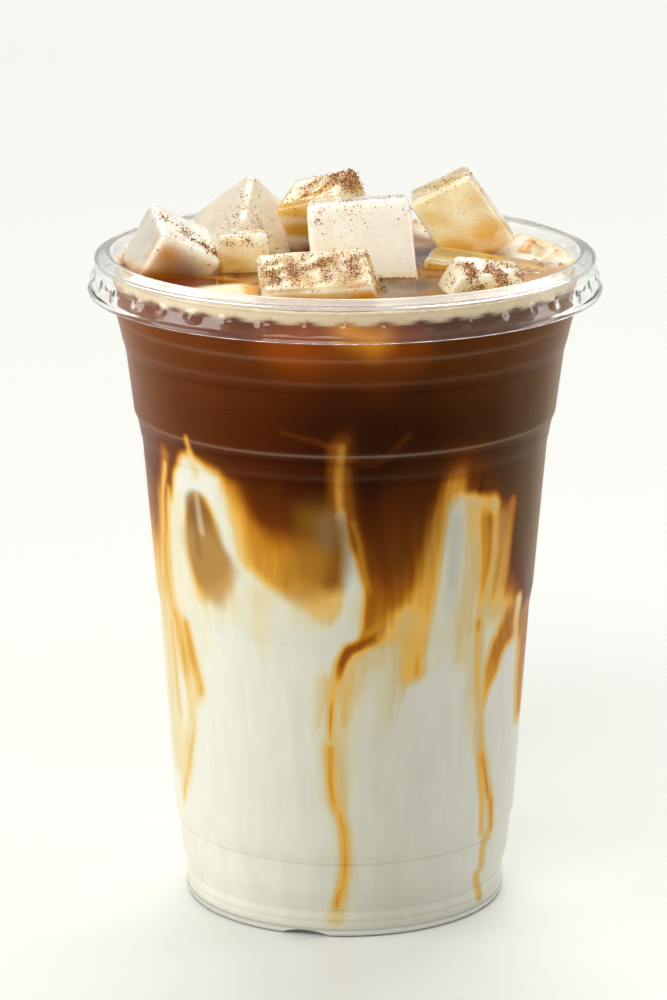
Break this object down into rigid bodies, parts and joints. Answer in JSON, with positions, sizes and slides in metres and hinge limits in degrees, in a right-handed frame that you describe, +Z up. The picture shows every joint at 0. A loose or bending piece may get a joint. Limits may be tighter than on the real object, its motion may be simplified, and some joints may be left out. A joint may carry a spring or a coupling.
{
  "type": "iced latte in a take-away cup",
  "caption": "Iced coffee with milk in a clear ribbed plastic cup with a push-fit collar, layered milk and coffee, foam at the wall and blocks of ice standing out of the top.",
  "frame": {"origin": "centre of the foot the cup stands on, in the plane of the table", "axes": "+Z up along the cup's axis, -Y towards the viewer's side, +X to the viewer's right"},
  "size_m": [0.1026, 0.1026, 0.1466],
  "materials": {
    "clear_cup": "clear thin PET, glossy",
    "clear_collar": "clear thin PET, glossy",
    "milk": "opaque liquid, tinted by coffee",
    "coffee": "dark liquid with amber and cream streaks",
    "foam": "soft milk foam",
    "ice": "frosted, cloudy, wet at the waterline"
  },
  "bodies": {
    "root": {"cup": "clear_cup", "collar": "clear_collar", "milk": "milk", "coffee": "coffee", "foam": "foam", "ice_left": "ice", "ice_back_left": "ice", "ice_small": "ice", "ice_middle_back": "ice", "ice_tall": "ice", "ice_front": "ice", "ice_back_right": "ice", "ice_slab": "ice", "ice_front_right": "ice"}
  },
  "joints": []
}
